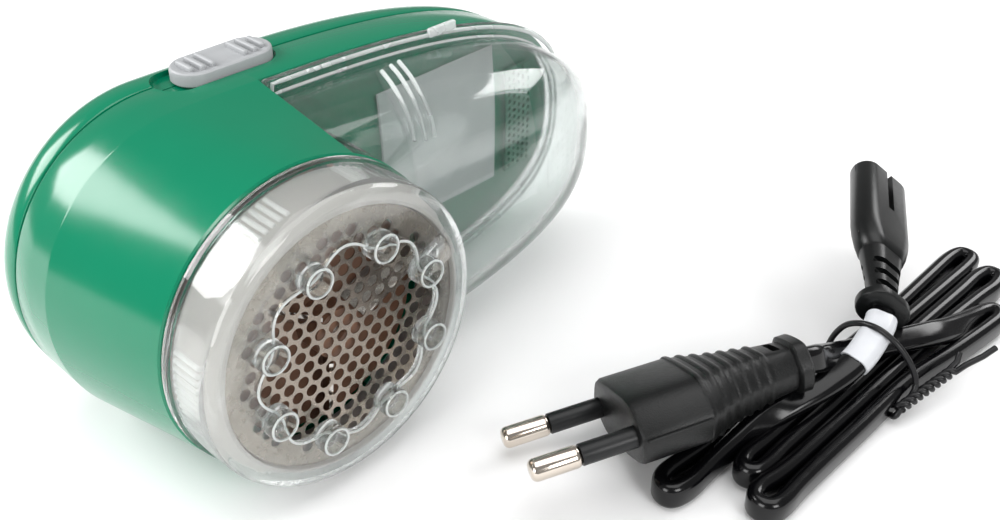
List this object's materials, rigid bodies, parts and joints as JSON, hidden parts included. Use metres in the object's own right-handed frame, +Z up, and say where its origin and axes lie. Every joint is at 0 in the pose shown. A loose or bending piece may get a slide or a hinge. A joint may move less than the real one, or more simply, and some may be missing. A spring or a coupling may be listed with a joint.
{
  "type": "fabric shaver",
  "caption": "Hand-held fabric shaver lying on its side: perforated steel head under a clear spacer guard, clear lint box under the handle, and a folded mains lead with plug and connector.",
  "frame": {"origin": "on the surface it lies on, under the middle of the shaver's box without the lead", "axes": "+Z up; -Y out of the shaving face, along the motor's axis; +X from the head towards the handle's tail"},
  "size_m": [0.1692, 0.1291, 0.0632],
  "materials": {
    "green_abs": "moulded gloss",
    "white_abs": "moulded satin",
    "grey_abs": "moulded satin",
    "clear_ps": "moulded clear",
    "stainless": "etched satin",
    "nickel": "plated",
    "black_pvc": "moulded satin",
    "black_nylon": "moulded satin",
    "circuit": "solder mask",
    "label": "matt"
  },
  "bodies": {
    "housing": {"cell_1": "stainless", "cell_2": "stainless", "cell_strap": "stainless", "charging_board": "circuit", "connector_body": "black_pvc", "connector_cord": "black_pvc", "connector_relief": "black_pvc", "cord_hank": "black_pvc", "cord_label": "label", "exhaust_grille": "green_abs", "inlet_pin_1": "stainless", "inlet_pin_2": "stainless", "inlet_socket": "black_nylon", "main_body": "green_abs", "motor_can": "stainless", "motor_end_bell": "white_abs", "motor_plate": "white_abs", "motor_screw_1": "stainless", "motor_screw_2": "stainless", "pin_sleeve_1": "black_pvc", "pin_sleeve_2": "black_pvc", "plate_screw_1": "stainless", "plate_screw_2": "stainless", "plate_screw_3": "stainless", "plug_body": "black_pvc", "plug_cord": "black_pvc", "plug_pin_1": "nickel", "plug_pin_2": "nickel", "rating_plate": "label", "switch_block": "black_nylon", "top_cover": "green_abs", "wire_tie": "black_pvc"},
    "switch": {"switch_cap": "grey_abs"},
    "rotor": {"motor_shaft": "stainless", "fan_wheel": "white_abs", "blade_carrier": "white_abs", "blade_1": "stainless", "blade_2": "stainless", "blade_3": "stainless"},
    "foil_ring": {"locking_ring": "white_abs", "foil": "stainless"},
    "guard": {"guard_cap": "clear_ps"},
    "container": {"lint_container": "clear_ps"}
  },
  "joints": [
    {"name": "switch_slide", "type": "slide", "parent": "housing", "child": "switch", "axis": [-1, 0, 0], "range_m": [0, 0.0035]},
    {"name": "rotor_spin", "type": "hinge", "parent": "housing", "child": "rotor", "pos_m": [-0.0288, -0.0127, 0.0304], "axis": [0, -1, 0], "continuous": true},
    {"name": "ring_twist", "type": "hinge", "parent": "housing", "child": "foil_ring", "pos_m": [-0.0288, -0.0227, 0.0304], "axis": [0, -1, 0], "range_deg": [0, 20]},
    {"name": "guard_pull", "type": "slide", "parent": "housing", "child": "guard", "axis": [0, -1, 0], "range_m": [0, 0.015]},
    {"name": "container_slide", "type": "slide", "parent": "housing", "child": "container", "axis": [1, 0, 0], "range_m": [0, 0.06]}
  ]
}
